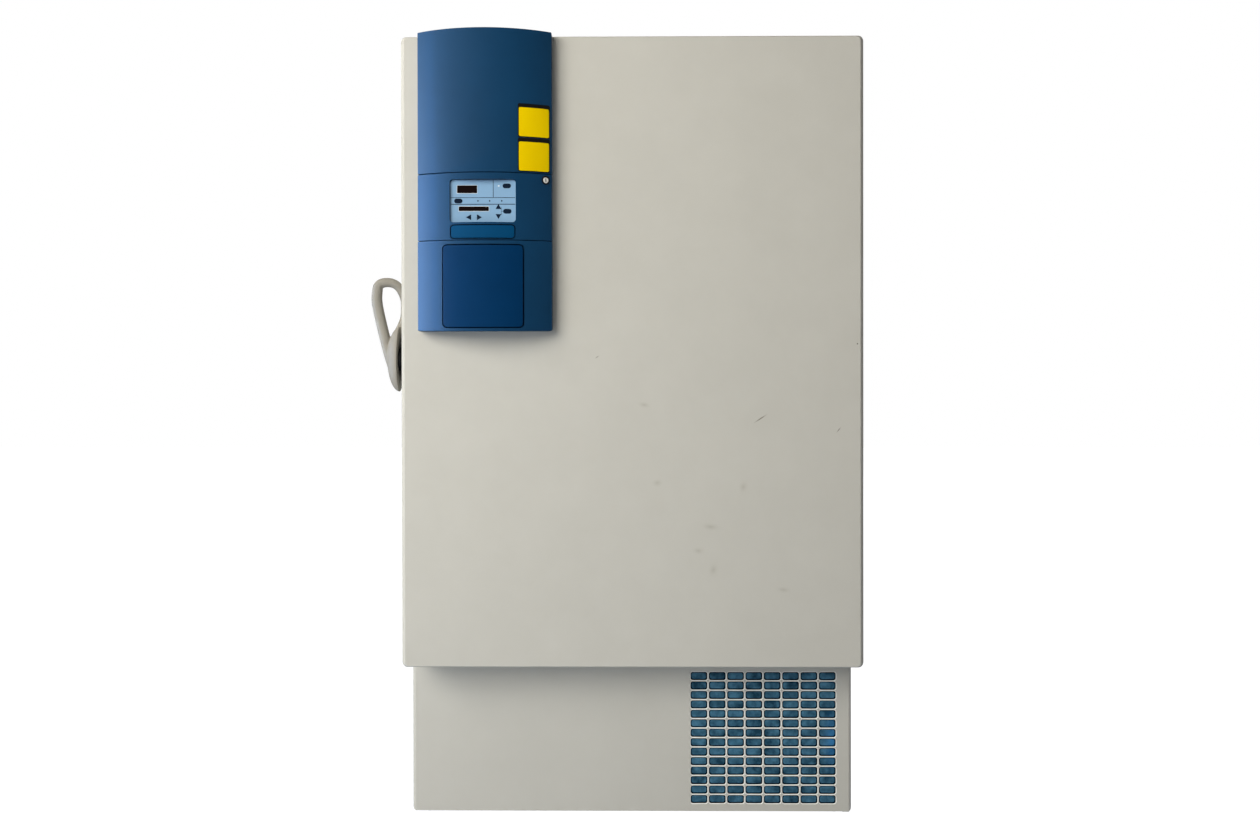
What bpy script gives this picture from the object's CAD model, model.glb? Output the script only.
"""Looks of an upright ultra-low-temperature laboratory freezer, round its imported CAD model."""

from __future__ import annotations

import logging
import math
from collections.abc import Callable, Iterator, Sequence
from contextlib import contextmanager
from dataclasses import dataclass, field, replace
from enum import Enum
from itertools import product

import bmesh
import bpy
from mathutils import Matrix, Vector


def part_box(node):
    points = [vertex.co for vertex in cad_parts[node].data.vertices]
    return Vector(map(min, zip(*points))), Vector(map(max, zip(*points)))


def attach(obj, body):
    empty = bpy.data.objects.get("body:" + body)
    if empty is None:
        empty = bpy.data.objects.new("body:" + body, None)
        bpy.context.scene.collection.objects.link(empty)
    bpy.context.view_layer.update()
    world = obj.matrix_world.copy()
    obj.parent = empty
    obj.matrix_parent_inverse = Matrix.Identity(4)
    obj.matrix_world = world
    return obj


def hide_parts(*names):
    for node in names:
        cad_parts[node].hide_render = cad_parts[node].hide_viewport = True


LOG = logging.getLogger("freezer")
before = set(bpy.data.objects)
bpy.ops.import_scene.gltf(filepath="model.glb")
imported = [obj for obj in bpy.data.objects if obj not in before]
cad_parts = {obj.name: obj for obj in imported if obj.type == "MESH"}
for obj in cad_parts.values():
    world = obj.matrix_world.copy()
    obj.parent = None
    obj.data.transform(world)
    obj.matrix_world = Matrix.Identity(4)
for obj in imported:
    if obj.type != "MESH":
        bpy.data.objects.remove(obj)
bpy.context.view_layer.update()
MM = 0.001
# How far a cutter runs past its work, how near counts as there, and how square as square.
PAST = 0.01
NEAR = 0.001
SQUARE = 0.99
# How far gloss swings about a finish's roughness, where its blotches fade, and how deep bumps look.
GLOSS_SWING = (0.88, 1.14)
BLOTCH_FADE = {"From Min": 0.34, "From Max": 0.66}
BUMP_STRENGTH = 0.35
# Edges blunter than this are shaded smooth.
SMOOTH_ANGLE = math.radians(32)
X, Y, Z = Vector((1, 0, 0)), Vector((0, 1, 0)), Vector((0, 0, 1))
CORNERS = ("fl", "fr", "rl", "rr")
HINGES = ("lower", "middle", "upper")

Object = bpy.types.Object
Tree = bpy.types.NodeTree
Socket = bpy.types.NodeSocket
Place = Sequence[float]
Test = Callable[[Vector, Vector], bool]
Rows = tuple[tuple[float, ...], ...]
Pairs = tuple[tuple[float, float], ...]


def corners(node: str) -> tuple[Vector, Vector]:
    """The lowest and highest corners of a CAD node."""
    low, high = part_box(node)
    return Vector(low), Vector(high)


def linear(colour: str) -> tuple[float, float, float, float]:
    """Turn an sRGB hex colour into linear light.

    Args:
        colour: Six hex digits, such as "C8C4B6".

    Returns:
        Red, green, blue and an alpha of 1.
    """
    channels = [int(colour[start : start + 2], 16) / 255 for start in (0, 2, 4)]
    light = [c / 12.92 if c <= 0.04045 else ((c + 0.055) / 1.055) ** 2.4 for c in channels]
    return (light[0], light[1], light[2], 1.0)


def add_node(
    tree: Tree, kind: str, settings: dict | None = None, links: dict | None = None
) -> bpy.types.Node:
    """Add a node with its settings and links.

    Args:
        tree: The node tree that takes the node.
        kind: The node's type name without its ShaderNode start.
        settings: Values by attribute, or by an input's name or number.
        links: Output sockets by the name or number of the input that each one feeds.

    Returns:
        The new node.
    """
    made = tree.nodes.new("ShaderNode" + kind)
    for key, value in (settings or {}).items():
        if isinstance(key, int) or key in made.inputs:
            made.inputs[key].default_value = value
        else:
            setattr(made, key, value)
    for key, socket in (links or {}).items():
        tree.links.new(socket, made.inputs[key])
    return made


class Surface(Enum):
    """How a surface was made, which sets its pattern."""

    POWDER_COAT = "powder coat"
    MOULDED = "moulded texture"
    BRUSHED = "brushed"
    ROLLED = "rolled sheet"
    CAST = "painted casting"
    FOAM = "open foam"
    FILM = "printed film"


# How many times longer than wide the lines of brushing and rolling are.
LINE_STRETCH = {Surface.BRUSHED: 40.0, Surface.ROLLED: 6.0}

@dataclass(frozen=True)
class Mark:
    """A scratch or a smudge on a front face: a long soft spot in XZ."""

    x: float
    z: float
    half_length: float
    half_width: float
    turn: float
    colour: str
    strength: float
    y: float = corners("door_skin")[0].y
    depth: float = 0.01

    def over(self, tree: Tree, place: Socket, under: Socket) -> Socket:
        """Lay the mark over a colour.

        Args:
            tree: The material's node tree.
            place: The Object coordinates.
            under: The colour below it.

        Returns:
            The colour with the mark on it.
        """
        spread = {
            "vector_type": "TEXTURE",
            "Location": (self.x, self.y, self.z),
            "Rotation": (0.0, self.turn, 0.0),
            "Scale": (self.half_length, self.depth, self.half_width),
        }
        turned = add_node(tree, "Mapping", spread, {"Vector": place}).outputs["Vector"]
        soft = {"gradient_type": "QUADRATIC_SPHERE"}
        spot = add_node(tree, "TexGradient", soft, {"Vector": turned}).outputs["Fac"]
        weaken = {"operation": "MULTIPLY", "use_clamp": True, 1: self.strength}
        share = add_node(tree, "Math", weaken, {0: spot}).outputs["Value"]
        ink = {"data_type": "RGBA", 7: linear(self.colour)}
        return add_node(tree, "Mix", ink, {"Factor": share, 6: under}).outputs[2]


@dataclass(frozen=True)
class Finish:
    """A material: its colours, gloss and the pattern that its making left."""

    name: str
    colour: str
    shade: str
    roughness: float
    surface: Surface
    grain_mm: float
    relief_mm: float
    gleam: float = 0.2
    metallic: float = 0.0
    blotch_mm: float = 180.0
    marks: tuple[Mark, ...] = ()

    def material(self) -> bpy.types.Material:
        """Build the node material, or give the one that was built before.

        Returns:
            The material.
        """
        if self.name in bpy.data.materials:
            return bpy.data.materials[self.name]
        made = bpy.data.materials.new(self.name)
        made.use_nodes = True
        made.diffuse_color = linear(self.colour)
        tree = made.node_tree
        place = add_node(tree, "TexCoord").outputs["Object"]
        grain = self._grain(tree, place)
        bright, dull = (min(1.0, self.roughness * swing) for swing in GLOSS_SWING)
        gloss = add_node(tree, "MapRange", {"To Min": bright, "To Max": dull}, {"Value": grain})
        depth = {"Strength": BUMP_STRENGTH, "Distance": self.relief_mm * MM}
        relief = add_node(tree, "Bump", depth, {"Height": grain})
        shader = tree.nodes["Principled BSDF"]
        shader.inputs["Metallic"].default_value = self.metallic
        shader.inputs["Specular IOR Level"].default_value = self.gleam
        tree.links.new(self._tint(tree, place), shader.inputs["Base Color"])
        tree.links.new(gloss.outputs["Result"], shader.inputs["Roughness"])
        tree.links.new(relief.outputs["Normal"], shader.inputs["Normal"])
        return made

    def _tint(self, tree: Tree, place: Socket) -> Socket:
        """Blend the colour and its shade in soft blotches, and lay the marks on them.

        Args:
            tree: The material's node tree.
            place: The Object coordinates.

        Returns:
            The colour.
        """
        scale = 1 / (self.blotch_mm * MM)
        cloud = {"Scale": scale, "Detail": 5.0, "Roughness": 0.6}
        blotch = add_node(tree, "TexNoise", cloud, {"Vector": place}).outputs["Fac"]
        tone = add_node(tree, "MapRange", BLOTCH_FADE, {"Value": blotch})
        pair = {"data_type": "RGBA", 6: linear(self.colour), 7: linear(self.shade)}
        tint = add_node(tree, "Mix", pair, {"Factor": tone.outputs["Result"]}).outputs[2]
        for mark in self.marks:
            tint = mark.over(tree, place, tint)
        return tint

    def _grain(self, tree: Tree, place: Socket) -> Socket:
        """Add the pattern of the surface's making.

        Args:
            tree: The material's node tree.
            place: The Object coordinates.

        Returns:
            A height from 0 to 1.
        """
        scale = 1 / (self.grain_mm * MM)
        if self.surface in LINE_STRETCH:
            # Brushing and rolling run along X, so the pattern is stretched that way.
            stretch = {"Scale": (1 / LINE_STRETCH[self.surface], 1.0, 1.0)}
            drawn = add_node(tree, "Mapping", stretch, {"Vector": place})
            place = drawn.outputs["Vector"]
        if self.surface in (Surface.FOAM, Surface.CAST):
            cells = {"Scale": scale, "feature": "SMOOTH_F1", "Smoothness": 0.6}
            return add_node(tree, "TexVoronoi", cells, {"Vector": place}).outputs["Distance"]
        detail = 1.0 if self.surface is Surface.FILM else 3.0
        noise = {"Scale": scale, "Detail": detail}
        return add_node(tree, "TexNoise", noise, {"Vector": place}).outputs["Fac"]


# The numbers of a finish are its roughness, its grain and relief in millimetres, and its gleam,
# metallic share and blotches in millimetres where they aren't the usual ones.
# Moulded, brushed and printed grain is drawn several times coarser than life, so that it shows.

# Powder-coated steel: a satin cream coat with a fine orange peel.
PAINT = Finish(
    "powder_coated_steel", "CAC8C0", "C7C5BD", 0.45, Surface.POWDER_COAT, 4.0, 0.05, 0.05
)
# The same coat on the rolled rims of the slots, rubbed bright by cleaning.
RIM = Finish("powder_coated_rim", "FFFFFC", "FAFAF5", 0.40, Surface.POWDER_COAT, 4.0, 0.02)
# The same coat on the door, with the few scratches and handling smudges of years in a laboratory.
DOOR_PAINT = replace(
    PAINT,
    name="powder_coated_door",
    blotch_mm=120.0,
    marks=(
        Mark(0.3496, 1.0476, 0.026, 0.0024, -0.58, "6F675A", 1.5),
        Mark(0.5398, 1.0201, 0.012, 0.0020, -0.90, "6F675A", 1.3),
        Mark(-0.0487, 1.1981, 0.009, 0.0022, -0.60, "7D766A", 1.0),
        Mark(0.5855, 1.2298, 0.0030, 0.0030, 0.0, "3A352F", 1.8),
        Mark(0.0660, 1.0811, 0.020, 0.010, 0.2, "A29E92", 0.5),
        Mark(0.0977, 0.8908, 0.018, 0.012, 0.0, "A8A498", 0.5),
        Mark(0.3075, 0.8811, 0.014, 0.020, 0.3, "A8A498", 0.5),
        Mark(0.2282, 0.7835, 0.030, 0.012, 0.1, "A29E92", 0.5),
        Mark(0.1977, 0.7250, 0.020, 0.012, 0.1, "A8A498", 0.5),
        Mark(0.2343, 0.6786, 0.016, 0.022, 0.2, "A8A498", 0.5),
        Mark(0.4050, 0.6298, 0.024, 0.010, 0.1, "A8A498", 0.5),
    ),
)
# Moulded ABS: a deep blue with a spark-eroded texture that spreads the light.
BLUE_ABS = Finish("blue_moulded_abs", "0D3A5C", "0B3656", 0.52, Surface.MOULDED, 1.1, 0.03, 0.12)
# Moulded ABS, a purer blue and a little smoother, for the recorder cover.
DEEP_ABS = Finish(
    "deep_blue_moulded_abs", "01315A", "012E55", 0.40, Surface.MOULDED, 1.1, 0.02, 0.05
)
# Printed plate in the same blue, a shade lighter than the moulding round it.
PLATE = Finish("blue_name_plate", "06456F", "054169", 0.40, Surface.FILM, 0.8, 0.01, 0.04)
# Polyester overlay, back-printed pale blue, with a light anti-glare texture, and its two inks.
OVERLAY = Finish("keypad_overlay_film", "88ACCC", "84A8C8", 0.46, Surface.FILM, 0.6, 0.01, 0.08)
INK = replace(OVERLAY, name="overlay_ink", colour="0B1B2E", shade="0A1829")
LEGEND = replace(OVERLAY, name="overlay_white_ink", colour="E6EAEC", shade="E1E6E9")
# Smoked display window: near black with a red-brown cast and a soft gloss.
SMOKED = Finish("smoked_display_window", "0D0605", "130908", 0.30, Surface.FILM, 2.0, 0.005, 0.03)
# Shadowed seams between mouldings: a blue so deep that it reads as a dark line.
SEAM = Finish("dark_seam_abs", "021221", "02101D", 0.60, Surface.MOULDED, 1.1, 0.02, 0.03)
# Vinyl sticker, plain yellow with a black border.
STICKER = Finish("yellow_vinyl", "FFDA00", "F8D200", 0.44, Surface.FILM, 1.5, 0.01, 0.05)
STICKER_EDGE = replace(STICKER, name="black_vinyl", colour="12110E", shade="161511")
# Painted zinc casting: a grey-beige coat over a slightly grainy casting.
CASTING = Finish("painted_zinc_casting", "9F9B92", "97938A", 0.46, Surface.CAST, 2.5, 0.02, 0.02)
# Moulded nylon: a flat black that shows hardly any light.
BLACK_NYLON = Finish("black_nylon", "0E0E0F", "131314", 0.55, Surface.MOULDED, 1.0, 0.04, 0.08)
# Brushed stainless steel: fine lines that draw each reflection out.
STAINLESS = Finish(
    "brushed_stainless_steel", "D0D2D3", "C6C8CA", 0.40, Surface.BRUSHED, 0.5, 0.02, metallic=0.8
)
# Galvanised sheet: a dull grey with the cloudy spangle of its zinc.
GALVANISED = Finish(
    "galvanised_sheet", "B4B7B8", "A4A8AA", 0.48, Surface.ROLLED, 9.0, 0.03, 0.2, 0.75, 40.0
)
# Zinc-plated steel: a brighter, even grey.
ZINC_PLATE = Finish(
    "zinc_plated_steel", "B4B6B7", "A8AAAC", 0.36, Surface.ROLLED, 2.0, 0.02, metallic=0.9
)
# Soft vinyl extrusion: a matt mid grey.
VINYL = Finish("grey_vinyl_gasket", "7F8183", "77797B", 0.62, Surface.MOULDED, 1.5, 0.05)
# White ABS: a clean off-white with a low sheen.
WHITE_ABS = Finish("white_abs", "ECEBE6", "E7E6E0", 0.42, Surface.MOULDED, 1.2, 0.02)
# Rigid urethane foam: straw-coloured and matt, with open cells.
URETHANE = Finish("rigid_urethane_foam", "DCCB94", "CFBD84", 0.90, Surface.FOAM, 1.5, 0.4)
# The filter foam between the slots, in shadow.
DEEP_FOAM = Finish(
    "shadowed_filter_foam", "0A1C28", "07151F", 0.95, Surface.FOAM, 1.6, 1.2, 0.02, blotch_mm=26.0
)
# Open filter foam, blue and uneven, with a brighter stretch at its right where light comes through.
FILTER_FOAM = replace(
    DEEP_FOAM,
    name="reticulated_filter_foam",
    colour="4C7B97",
    shade="1E4054",
    roughness=0.92,
    gleam=0.05,
    blotch_mm=30.0,
    marks=(Mark(0.552, 0.205, 0.034, 0.120, 0.0, "2F7EC4", 0.6, y=-0.284),),
)
# Machine enamel: black with a soft gloss.
ENAMEL = Finish("black_machine_enamel", "17181A", "1D1E20", 0.34, Surface.POWDER_COAT, 3.0, 0.05)
# Aluminium fins: a pale metal whose close edges read as a fine grain.
FIN_STOCK = Finish(
    "aluminium_fin_stock", "A8AAAC", "9B9EA1", 0.44, Surface.BRUSHED, 2.0, 0.20, metallic=1.0
)
# Drawn copper tube: warm and bright, with lines along its length.
COPPER = Finish("drawn_copper", "BC7350", "A86244", 0.34, Surface.ROLLED, 3.0, 0.02, metallic=1.0)
# Polyurethane tread: a matt dark grey.
POLYURETHANE = Finish("grey_caster_tread", "3A3A3C", "333335", 0.60, Surface.MOULDED, 1.2, 0.05)

CAD_FINISHES: dict[Finish, tuple[str, ...]] = {
    PAINT: ("base_pan",),
    GALVANISED: ("cabinet_back", "rear_service_cover", "machine_deck", "electrical_box"),
    ZINC_PLATE: (
        "latch_strike",
        *(f"leveling_foot_{at}" for at in CORNERS),
        *(f"caster_fork_{at}" for at in CORNERS),
    ),
    URETHANE: ("cabinet_foam", "door_foam"),
    STAINLESS: ("chamber_liner", "shelf_1", "shelf_2", "shelf_3", "inner_hinge_rod"),
    WHITE_ABS: ("breaker_frame", "door_liner"),
    BLACK_NYLON: ("fan_blade", "heat_exchanger", "power_inlet"),
    ENAMEL: ("fan_motor", "latch_cam"),
    COPPER: ("discharge_line",),
    POLYURETHANE: tuple(f"caster_wheel_{at}" for at in CORNERS),
}


def take(obj: Object) -> Object:
    """Select one object alone and make it active.

    Args:
        obj: The object.

    Returns:
        The same object.
    """
    bpy.ops.object.select_all(action="DESELECT")
    obj.select_set(True)
    bpy.context.view_layer.objects.active = obj
    return obj


@contextmanager
def editing(
    obj: Object, elements: str = "FACE", test: Test | None = None
) -> Iterator[bmesh.types.BMesh]:
    """Edit an object's mesh, and go back to object mode after.

    Args:
        obj: The object.
        elements: What is selected: VERT, EDGE or FACE.
        test: Picks edges by middle and direction, or faces by middle and normal. None picks all.

    Yields:
        The mesh in edit mode.
    """
    take(obj)
    bpy.ops.object.mode_set(mode="EDIT")
    bpy.ops.mesh.select_mode(type=elements)
    bpy.ops.mesh.select_all(action="DESELECT" if test else "SELECT")
    shape = bmesh.from_edit_mesh(obj.data)
    if test and elements == "EDGE":
        for edge in shape.edges:
            start, end = edge.verts[0].co, edge.verts[1].co
            edge.select_set(test((start + end) / 2, (end - start).normalized()))
    elif test:
        shape.normal_update()
        for face in shape.faces:
            face.select_set(test(face.calc_center_median(), face.normal))
    if test:
        bmesh.update_edit_mesh(obj.data)
    yield shape
    bpy.ops.object.mode_set(mode="OBJECT")


def along(axis: int) -> Test:
    """A test that passes edges along an axis."""
    return lambda middle, way: abs(way[axis]) > SQUARE


def facing(axis: int, sign: int) -> Test:
    """A test that passes faces that look up or down an axis."""
    return lambda middle, normal: normal[axis] * sign > SQUARE


def round_edges(obj: Object, test: Test, radius: float, steps: int) -> Object:
    """Round the edges that pass a test.

    Args:
        obj: The object to change.
        test: Picks the edges by their middle and direction.
        radius: The radius of the rounding.
        steps: How many facets draw it.

    Returns:
        The same object.
    """
    with editing(obj, "EDGE", test):
        bpy.ops.mesh.bevel(offset=radius, segments=steps, affect="EDGES")
    return obj


def inset_faces(obj: Object, test: Test, *rings: tuple[float, float]) -> None:
    """Inset the faces that pass a test, ring by ring.

    Args:
        obj: The object to change.
        test: Picks the faces by their middle and normal.
        rings: The width of each ring and how far it rises.
    """
    with editing(obj, "FACE", test):
        for width, rise in rings:
            bpy.ops.mesh.inset(thickness=width, depth=rise)


def open_faces(obj: Object, test: Test) -> None:
    """Delete the faces that pass a test."""
    with editing(obj, "FACE", test):
        bpy.ops.mesh.delete(type="FACE")


def slice_off(obj: Object, place: Place, outward: Place) -> None:
    """Cut away all that lies beyond a plane, and close the cut."""
    with editing(obj):
        bpy.ops.mesh.bisect(plane_co=place, plane_no=outward, use_fill=True, clear_outer=True)


def settle(obj: Object) -> Object:
    """Put an object's place into its mesh.

    Args:
        obj: The object.

    Returns:
        The same object.
    """
    take(obj)
    bpy.ops.object.transform_apply(location=True, rotation=True, scale=True)
    return obj


def block(name: str, low: Place, high: Place) -> Object:
    """Add a box between two corners, to be shaped further.

    Args:
        name: The object's name.
        low: The lowest corner.
        high: The highest corner.

    Returns:
        The box.
    """
    bpy.ops.object.select_all(action="DESELECT")
    low, high = Vector(low), Vector(high)
    bpy.ops.mesh.primitive_cube_add(size=1.0, location=(low + high) / 2)
    made = bpy.context.object
    made.name = name
    made.scale = high - low
    return settle(made)


def drum(name: str, start: Place, end: Place, radius: float, sides: int = 48) -> Object:
    """Add a round bar between two points, to be shaped further.

    Args:
        name: The object's name.
        start: The middle of one end.
        end: The middle of the other end.
        radius: The bar's radius.
        sides: How many flat sides draw it.

    Returns:
        The bar.
    """
    bpy.ops.object.select_all(action="DESELECT")
    start, end = Vector(start), Vector(end)
    way = end - start
    bpy.ops.mesh.primitive_cylinder_add(
        vertices=sides, radius=radius, depth=way.length, location=(start + end) / 2
    )
    made = bpy.context.object
    made.name = name
    made.rotation_euler = Z.rotation_difference(way).to_euler()
    return settle(made)


def modify(obj: Object, kind: str, **settings: object) -> Object:
    """Add a modifier, set it and apply it.

    Args:
        obj: The object to change.
        kind: The modifier's type.
        settings: Its attributes.

    Returns:
        The same object.
    """
    take(obj)
    made = obj.modifiers.new(kind.lower(), kind)
    for name, value in settings.items():
        setattr(made, name, value)
    bpy.ops.object.modifier_apply(modifier=made.name)
    return obj


def carve(obj: Object, tool: Object, operation: str = "DIFFERENCE") -> Object:
    """Cut or trim an object by another one.

    Args:
        obj: The object to change.
        tool: The other one, which is used up.
        operation: DIFFERENCE or INTERSECT.

    Returns:
        The same object.
    """
    modify(obj, "BOOLEAN", operation=operation, solver="EXACT", object=tool)
    bpy.data.objects.remove(tool, do_unlink=True)
    return obj


def soften(obj: Object, width: float, steps: int = 3, angle: float = 40.0) -> Object:
    """Round an object's edges that are sharper than an angle in degrees, and give the object."""
    limit = {"limit_method": "ANGLE", "angle_limit": math.radians(angle)}
    return modify(obj, "BEVEL", width=width, segments=steps, use_clamp_overlap=True, **limit)


def give_wall(obj: Object, sheet: float) -> Object:
    """Thicken an open shell inward to a sheet of metal."""
    return modify(obj, "SOLIDIFY", thickness=sheet, offset=-1.0, use_even_offset=True)


def repeat(obj: Object, count: int, step: Place) -> Object:
    """Repeat an object a number of times at a constant step."""
    offset = {"use_relative_offset": False, "use_constant_offset": True}
    return modify(obj, "ARRAY", count=count, constant_offset_displace=step, **offset)


def plaque(name: str, low: Place, high: Place, corner: float, steps: int = 6) -> Object:
    """Add a box with its four edges along Y rounded, by a corner radius."""
    return round_edges(block(name, low, high), along(1), corner, steps)


def merge(name: str, pieces: Sequence[Object]) -> Object:
    """Join pieces into one object.

    Args:
        name: The object's name.
        pieces: What to join.

    Returns:
        The object.
    """
    take(pieces[0])
    for piece in pieces:
        piece.select_set(True)
    bpy.ops.object.join()
    pieces[0].name = name
    return pieces[0]


def deliver(
    obj: Object, finish: Finish, body: str, slot: str, *nodes: str, dressed: bool = False
) -> None:
    """Dress a finished piece and hang it on its body.

    Args:
        obj: The piece.
        finish: Its material.
        body: The body that it moves with.
        slot: The record's material slot.
        nodes: The CAD nodes that it stands for.
        dressed: Whether its materials are on it already.
    """
    settle(obj)
    bpy.ops.object.shade_smooth_by_angle(angle=SMOOTH_ANGLE)
    # Large faces keep their flat shading beside rounded edges.
    modify(obj, "WEIGHTED_NORMAL", mode="FACE_AREA", weight=100, keep_sharp=True)
    if not dressed:
        obj.data.materials.clear()
        obj.data.materials.append(finish.material())
    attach(obj, body)
    if nodes:
        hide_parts(*nodes)
    LOG.info("%s: %s on %s, %d faces", obj.name, finish.name, body, len(obj.data.polygons))


@dataclass
class CabinetShell:
    """The folded sheet of the cabinet's sides and roof."""

    fold: float = 0.005
    sheet: float = 0.0015
    notch_depth: float = 0.022
    notch_top: float = 0.405

    def build(self) -> None:
        """Fold the sheet over the cabinet and notch it round the lower door."""
        low, high = corners("cabinet_wrapper")
        shell = block("cabinet_shell", low, high)
        roof = high.z - NEAR
        round_edges(shell, lambda at, way: abs(way.y) > SQUARE and at.z > roof, self.fold, 6)
        open_faces(shell, lambda at, normal: abs(normal.y) > SQUARE or normal.z < -SQUARE)
        give_wall(shell, self.sheet)
        notch_end = (high.x + PAST, low.y + self.notch_depth, self.notch_top)
        carve(shell, block("notch", low - Vector((PAST, PAST, PAST)), notch_end))
        deliver(shell, PAINT, "cabinet", "cream_paint", "cabinet_wrapper")


@dataclass
class DoorSeal:
    """The magnetic gasket round the door's back."""

    width: float = 0.030
    corner: float = 0.030
    lip: float = 0.004

    def build(self) -> None:
        """Cut a rounded ring and round its lips."""
        low, high = corners("door_gasket")
        seal = plaque("seal_ring", low, high, self.corner, 8)
        inset = Vector((self.width, -PAST, self.width))
        carve(seal, plaque("inside", low + inset, high - inset, self.lip))
        soften(seal, self.lip, 4, 50)
        deliver(seal, VINYL, "door", "grey_rubber", "door_gasket")


@dataclass
class InnerDoors:
    """The four inner doors on their rod."""

    count: int = 4
    border: tuple[float, float] = (0.045, 0.0)
    dish: tuple[float, float] = (0.006, -0.003)
    edge: float = 0.0025
    pull_reach: float = 0.008
    pull_root: float = 0.004
    pull_width: float = 0.014
    pull_height: float = 0.090
    pull_inset: float = 0.010
    pull_edge: float = 0.0035
    barrel: float = 0.0075
    barrel_length: float = 0.040
    barrel_inset: float = 0.030
    barrel_edge: float = 0.0006
    bore: float = 0.0045
    rod_gap: float = 0.006

    def build(self) -> None:
        """Make each door's moulded leaf with its pull and barrels."""
        for number in range(1, self.count + 1):
            node = f"inner_door_{number}"
            low, high = corners(node)
            axis, front = high.x - self.barrel, low.y + self.pull_reach
            leaf = block("leaf", (low.x, front, low.z), (axis - self.rod_gap, high.y, high.z))
            inset_faces(leaf, facing(1, -1), self.border, self.dish)
            middle = (low.z + high.z) / 2
            left = low.x + self.pull_inset
            pull = block(
                "pull",
                (left, low.y, middle - self.pull_height / 2),
                (left + self.pull_width, front + self.pull_root, middle + self.pull_height / 2),
            )
            pieces = [soften(leaf, self.edge, 3, 25), soften(pull, self.pull_edge, 4)]
            for start in (
                low.z + self.barrel_inset,
                high.z - self.barrel_inset - self.barrel_length,
            ):
                top = start + self.barrel_length
                sleeve = drum("sleeve", (axis, front, start), (axis, front, top), self.barrel, 32)
                ends = (axis, front, start - PAST), (axis, front, top + PAST)
                carve(sleeve, drum("bore", *ends, self.bore, 32))
                pieces.append(soften(sleeve, self.barrel_edge, 2))
            whole = merge(f"inner_leaf_{number}", pieces)
            deliver(whole, WHITE_ABS, node, "white_plastic", node)


@dataclass
class Hinges:
    """The three strap hinges at the door's right."""

    leaf: float = 0.004
    leaf_edge: float = 0.0014
    length: float = 0.060
    barrel: float = 0.009
    barrel_edge: float = 0.001
    ear: float = 0.008
    pin: float = 0.004
    pin_edge: float = 0.0008
    bore: float = 0.0045
    slack: float = 0.0003
    strap_gap: float = 0.0015

    def build(self) -> None:
        """Make each hinge's fixed bracket with its pin, and the knuckle that turns on it."""
        for name in HINGES:
            low, high = corners(f"hinge_bracket_{name}")
            strap_low, strap_high = corners(f"hinge_knuckle_{name}")
            x, y = strap_high.x - self.barrel, low.y + self.barrel - self.slack
            side, ear = low.x, low.z + self.ear
            face = side + self.leaf
            plate = block("plate", (side, high.y - self.length, low.z), (face, high.y, high.z))
            lug = block("ear", (side, y, low.z), (x, high.y - self.length / 2, ear))
            seat = drum("seat", (x, y, low.z), (x, y, ear), self.barrel - self.slack)
            pin = drum("pin", (x, y, low.z + self.slack), (x, y, high.z), self.pin, 32)
            fixed = [
                soften(plate, self.leaf_edge),
                soften(lug, self.barrel_edge),
                soften(seat, self.barrel_edge),
                soften(pin, self.pin_edge),
            ]
            bracket = merge(f"hinge_fixed_{name}", fixed)
            deliver(bracket, ZINC_PLATE, "cabinet", "zinc_steel", f"hinge_bracket_{name}")
            strap = block(
                "strap",
                (side, strap_low.y, strap_low.z + self.strap_gap),
                (face, y - self.barrel / 2, high.z),
            )
            sleeve = drum("sleeve", (x, y, strap_low.z), (x, y, high.z - self.slack), self.barrel)
            carve(sleeve, drum("bore", (x, y, low.z), (x, y, high.z + PAST), self.bore))
            moving = [soften(strap, self.leaf_edge), soften(sleeve, self.barrel_edge)]
            knuckle = merge(f"hinge_moving_{name}", moving)
            deliver(knuckle, ZINC_PLATE, "door", "zinc_steel", f"hinge_knuckle_{name}")


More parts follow.
